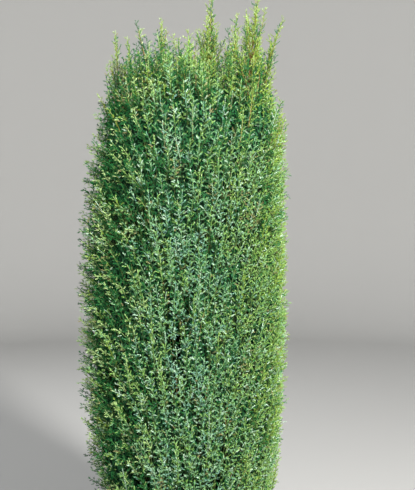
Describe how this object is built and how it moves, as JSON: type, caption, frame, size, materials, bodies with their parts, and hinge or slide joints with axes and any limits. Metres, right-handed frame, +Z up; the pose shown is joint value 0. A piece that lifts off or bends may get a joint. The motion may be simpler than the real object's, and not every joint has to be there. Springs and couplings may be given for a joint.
{
  "type": "swedish juniper",
  "caption": "Upright juniper grown as a dense narrow column, with free leaders at its top, rooted in the ground.",
  "frame": {"origin": "middle of the flat cut under the trunk, at ground level", "axes": "+Z up along the trunk, -Y the side seen in the picture, +X to the picture's right"},
  "size_m": [0.8913, 0.8882, 2.615],
  "materials": {
    "bark": "fibrous, peeling in upright strips",
    "low_needles": "matt, dark blue-green needles",
    "middle_needles": "matt, blue-green needles with pale bands",
    "leader_needles": "matt, yellow-green young needles"
  },
  "bodies": {
    "root": {"trunk": "bark", "bough_low_1": "bark", "foliage_low_1": "low_needles", "bough_low_2": "bark", "foliage_low_2": "low_needles", "bough_low_3": "bark", "foliage_low_3": "low_needles", "bough_low_4": "bark", "foliage_low_4": "low_needles", "bough_low_5": "bark", "foliage_low_5": "low_needles", "bough_low_6": "bark", "foliage_low_6": "low_needles", "bough_low_7": "bark", "foliage_low_7": "low_needles", "bough_middle_1": "bark", "foliage_middle_1": "middle_needles", "bough_middle_2": "bark", "foliage_middle_2": "middle_needles", "bough_middle_3": "bark", "foliage_middle_3": "middle_needles", "bough_middle_4": "bark", "foliage_middle_4": "middle_needles", "bough_middle_5": "bark", "foliage_middle_5": "middle_needles", "bough_middle_6": "bark", "foliage_middle_6": "middle_needles", "bough_middle_7": "bark", "foliage_middle_7": "middle_needles", "bough_leader_left": "bark", "foliage_leader_left": "leader_needles", "bough_leader_left_front": "bark", "foliage_leader_left_front": "leader_needles", "bough_leader_front": "bark", "foliage_leader_front": "leader_needles", "bough_leader_right_front": "bark", "foliage_leader_right_front": "leader_needles", "bough_leader_right": "bark", "foliage_leader_right": "leader_needles", "bough_leader_right_back": "bark", "foliage_leader_right_back": "leader_needles", "bough_leader_back": "bark", "foliage_leader_back": "leader_needles", "bough_leader_left_back": "bark", "foliage_leader_left_back": "leader_needles", "bough_leader_left_middle": "bark", "foliage_leader_left_middle": "leader_needles", "foliage_leader_middle": "leader_needles"}
  },
  "joints": []
}
